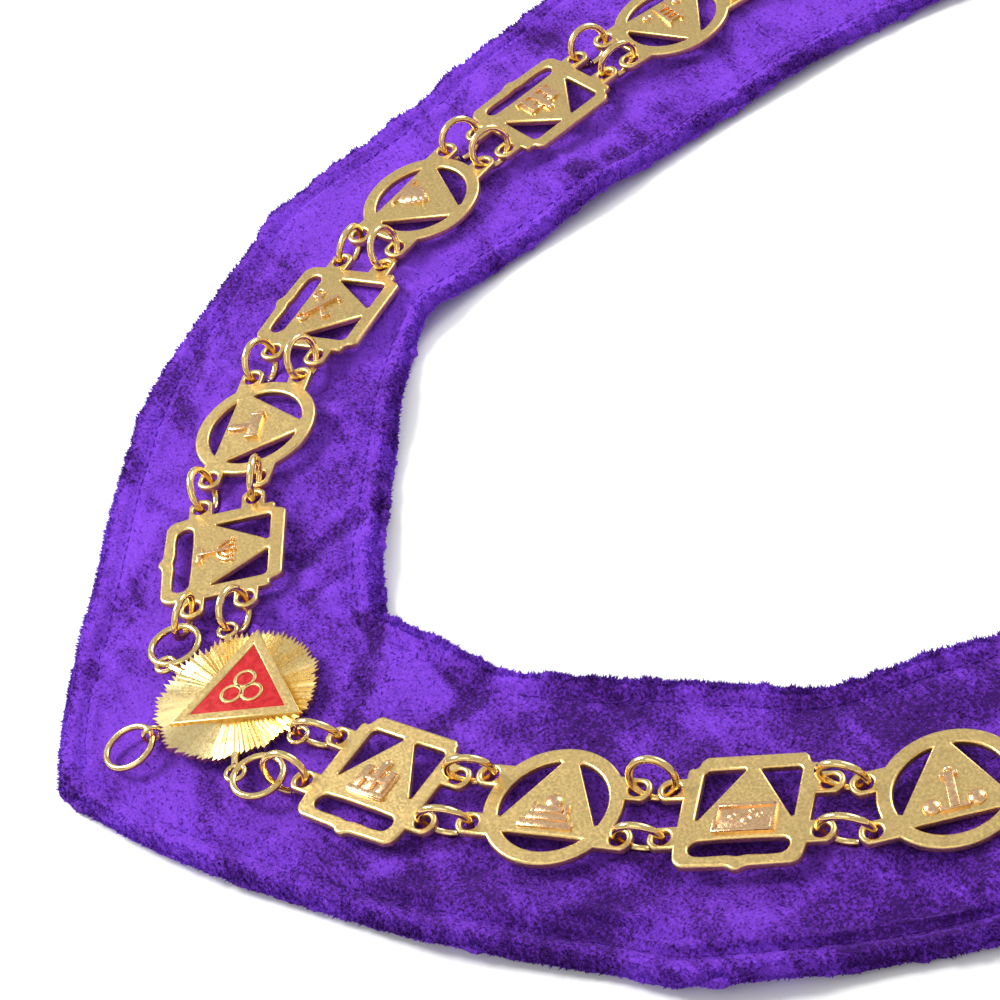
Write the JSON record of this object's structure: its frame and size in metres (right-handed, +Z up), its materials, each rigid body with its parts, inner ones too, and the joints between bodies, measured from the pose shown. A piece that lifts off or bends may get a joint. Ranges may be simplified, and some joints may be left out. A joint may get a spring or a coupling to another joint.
{
  "type": "ceremonial chain collar",
  "caption": "Padded velvet collar, lying flat, with a linked chain of pierced metal plaques, a sunburst centrepiece with red enamel and a ring for a hanging jewel.",
  "frame": {"origin": "bottom centre of the whole collar's box, on the surface it lies on", "axes": "+Y from the point of the collar to the back of the neck, +X to the wearer's left, +Z up out of the plaques' faces"},
  "size_m": [0.4114, 0.4905, 0.0182],
  "materials": {
    "velvet": "purple velvet, soft pile",
    "gold": "gold-plated, satin faces and bright edges",
    "enamel": "glossy red enamel"
  },
  "bodies": {
    "root": {"centrepiece": "gold", "jewel_ring": "gold", "red_enamel": "enamel", "round_plaque_02": "gold", "round_plaque_04": "gold", "round_plaque_06": "gold", "round_plaque_08": "gold", "round_plaque_10": "gold", "round_plaque_12": "gold", "round_plaque_14": "gold", "round_plaque_16": "gold", "round_plaque_18": "gold", "round_plaque_20": "gold", "round_plaque_22": "gold", "square_plaque_01": "gold", "square_plaque_03": "gold", "square_plaque_05": "gold", "square_plaque_07": "gold", "square_plaque_09": "gold", "square_plaque_11": "gold", "square_plaque_13": "gold", "square_plaque_15": "gold", "square_plaque_17": "gold", "square_plaque_19": "gold", "square_plaque_21": "gold", "square_plaque_23": "gold", "velvet_collar": "velvet"}
  },
  "joints": []
}
